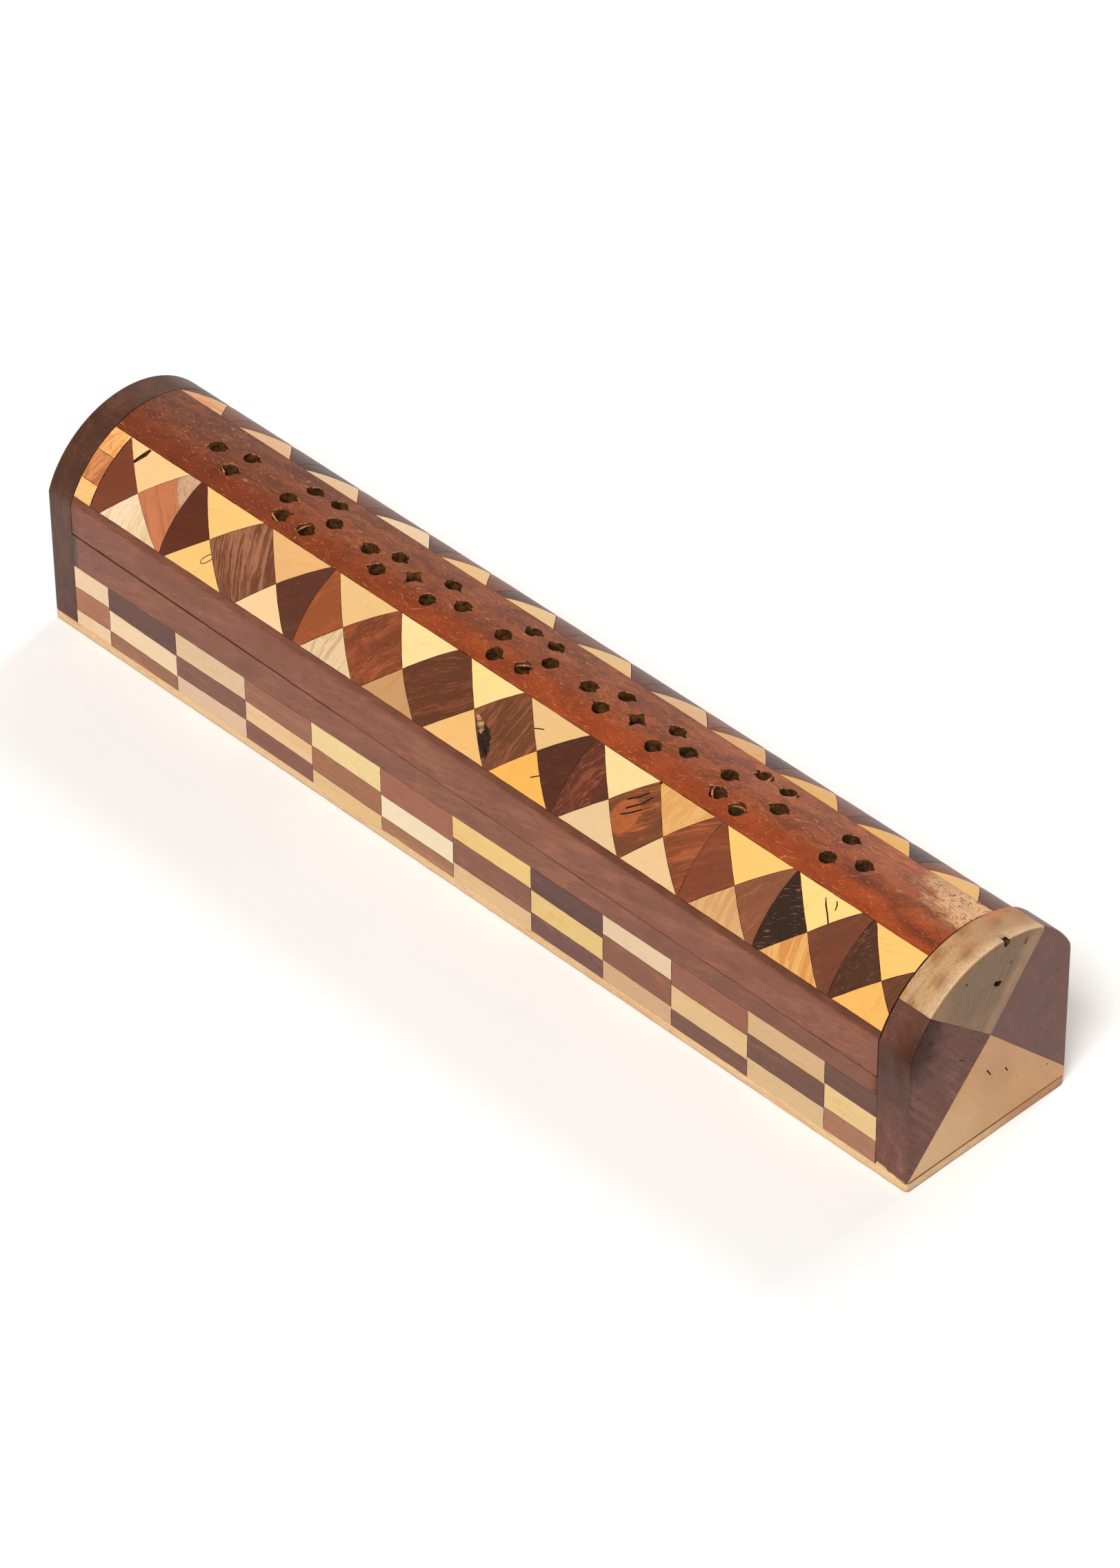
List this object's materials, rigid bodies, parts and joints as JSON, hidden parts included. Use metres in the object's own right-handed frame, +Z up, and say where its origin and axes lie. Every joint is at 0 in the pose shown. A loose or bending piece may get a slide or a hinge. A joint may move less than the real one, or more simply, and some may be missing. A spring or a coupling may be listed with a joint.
{
  "type": "incense box",
  "caption": "Long low incense box with an arched, hinged and vented lid and geometric inlay of pale and dark woods, holding a burning stick or cone.",
  "frame": {"origin": "centre of the underside of the base plate, on the surface that the box stands on", "axes": "+X runs along the box towards the quartered end block, -Y is the front, +Y is the hinged back, +Z is up"},
  "size_m": [0.305, 0.0581, 0.0605],
  "materials": {
    "pale_base_wood": "satin lacquer",
    "dark_sheesham": "satin lacquer",
    "grey_tan_wood": "satin lacquer",
    "tan_wood": "satin lacquer",
    "mauve_brown_wood": "satin lacquer",
    "pale_inlay_wood": "satin lacquer",
    "dark_inlay_wood": "satin lacquer",
    "orange_inlay_wood": "satin lacquer",
    "red_sheesham": "satin lacquer",
    "brass": "lightly polished",
    "steel": "plain"
  },
  "bodies": {
    "box": {"back_band_bottom_dark": "dark_inlay_wood", "back_band_bottom_pale": "pale_inlay_wood", "back_band_middle_dark": "dark_inlay_wood", "back_band_middle_pale": "pale_inlay_wood", "back_band_top_dark": "dark_inlay_wood", "back_band_top_pale": "pale_inlay_wood", "back_wall": "mauve_brown_wood", "base_brads": "steel", "base_plate": "pale_base_wood", "body_hinge_screws": "brass", "cone_plate": "brass", "cone_plate_pin": "brass", "far_end_block": "dark_sheesham", "far_hinge_body_leaf": "brass", "far_hinge_pin": "brass", "front_band_bottom_dark": "dark_inlay_wood", "front_band_bottom_pale": "pale_inlay_wood", "front_band_middle_dark": "dark_inlay_wood", "front_band_middle_pale": "pale_inlay_wood", "front_band_top_dark": "dark_inlay_wood", "front_band_top_pale": "pale_inlay_wood", "front_wall": "mauve_brown_wood", "near_end_back_wedge": "mauve_brown_wood", "near_end_bottom_wedge": "tan_wood", "near_end_front_wedge": "mauve_brown_wood", "near_end_top_wedge": "grey_tan_wood", "near_hinge_body_leaf": "brass", "near_hinge_pin": "brass", "stick_holder": "mauve_brown_wood"},
    "lid": {"far_hinge_lid_leaf": "brass", "lid_back_left_dark": "dark_inlay_wood", "lid_back_lower_pale": "pale_inlay_wood", "lid_back_right_dark": "dark_inlay_wood", "lid_back_upper_pale": "pale_inlay_wood", "lid_core": "mauve_brown_wood", "lid_filler_lower": "pale_inlay_wood", "lid_filler_middle": "orange_inlay_wood", "lid_filler_upper": "orange_inlay_wood", "lid_front_left_dark": "dark_inlay_wood", "lid_front_lower_pale": "pale_inlay_wood", "lid_front_right_dark": "dark_inlay_wood", "lid_front_upper_pale": "pale_inlay_wood", "lid_hinge_screws": "brass", "lid_top_strip": "red_sheesham", "near_hinge_lid_leaf": "brass"}
  },
  "joints": [
    {"name": "lid_hinge", "type": "hinge", "parent": "box", "child": "lid", "pos_m": [0, 0.0291, 0.0313], "axis": [-1, 0, 0], "range_deg": [0, 180]}
  ]
}
